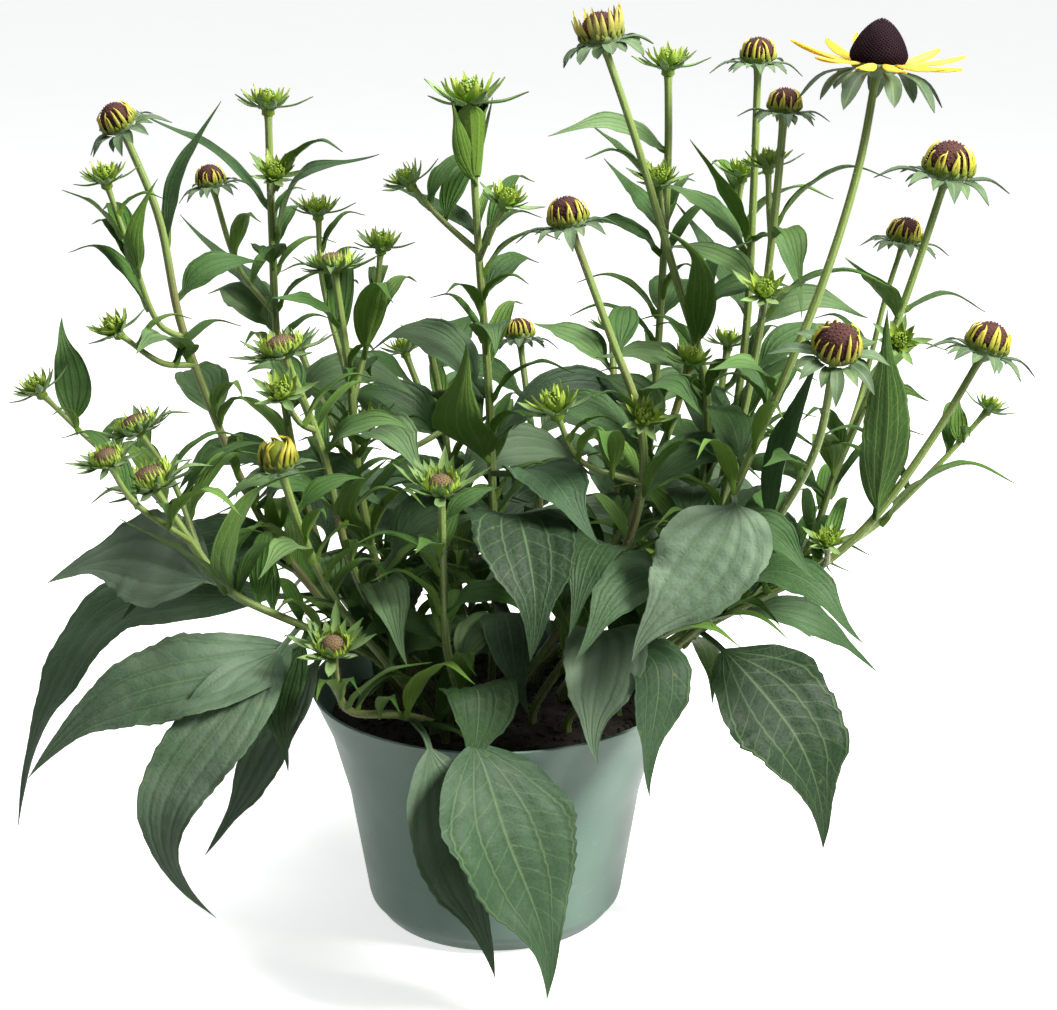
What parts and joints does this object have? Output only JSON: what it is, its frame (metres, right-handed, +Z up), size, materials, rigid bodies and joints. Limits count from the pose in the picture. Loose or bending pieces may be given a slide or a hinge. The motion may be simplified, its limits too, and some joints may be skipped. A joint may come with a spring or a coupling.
{
  "type": "potted black-eyed susan",
  "caption": "Black-eyed susan in a flared nursery pot: a clump of leafy stems with an open yellow bloom round a dark disc and bracted buds at every stage.",
  "frame": {"origin": "middle of the pot's base, on the surface it stands on", "axes": "+Z up along the pot's axis, -Y towards the front, which is the side with the low leaf that hangs over the rim, +X to the right seen from the front"},
  "size_m": [0.4596, 0.312, 0.4253],
  "materials": {
    "pot": "smooth matte mint green moulded plastic",
    "soil": "coarse dark damp crumb",
    "foliage": "softly hairy green stems, bracts and veined leaves",
    "young_rays": "yellow-green young rays curled round the disc",
    "petals": "satin golden yellow petals",
    "disc": "dark brown-purple florets, rough"
  },
  "bodies": {
    "root": {"pot": "pot", "soil": "soil", "bud_01_disc": "disc", "bud_02_disc": "disc", "bud_03_disc": "disc", "bud_04_disc": "disc", "bud_05_disc": "disc", "bud_05_rays": "young_rays", "bud_06_disc": "disc", "bud_06_rays": "young_rays", "bud_07_disc": "disc", "bud_08_disc": "disc", "bud_09_rays": "young_rays", "bud_10_disc": "disc", "bud_11_disc": "disc", "bud_11_rays": "young_rays", "bud_12_disc": "disc", "bud_12_rays": "young_rays", "bud_13_disc": "disc", "bud_13_rays": "young_rays", "bud_14_disc": "disc", "bud_14_rays": "young_rays", "bloom_disc": "disc", "bloom_rays": "petals", "bud_15_disc": "disc", "bud_15_rays": "young_rays", "bud_16_disc": "disc", "bud_16_rays": "young_rays", "bud_17_disc": "disc", "bud_17_rays": "young_rays", "bud_18_disc": "disc", "bud_18_rays": "young_rays", "bud_19_disc": "disc", "bud_19_rays": "young_rays", "shoot_01": "foliage", "shoot_02": "foliage", "shoot_03": "foliage", "shoot_04": "foliage", "shoot_05": "foliage", "shoot_06": "foliage", "shoot_07": "foliage", "shoot_08": "foliage", "shoot_09": "foliage", "shoot_10": "foliage", "shoot_11": "foliage", "shoot_12": "foliage", "shoot_13": "foliage", "shoot_14": "foliage", "shoot_15": "foliage", "shoot_16": "foliage", "shoot_17": "foliage", "shoot_18": "foliage", "shoot_19": "foliage", "shoot_20": "foliage", "shoot_21": "foliage", "shoot_22": "foliage", "shoot_23": "foliage", "shoot_24": "foliage", "shoot_25": "foliage"}
  },
  "joints": []
}
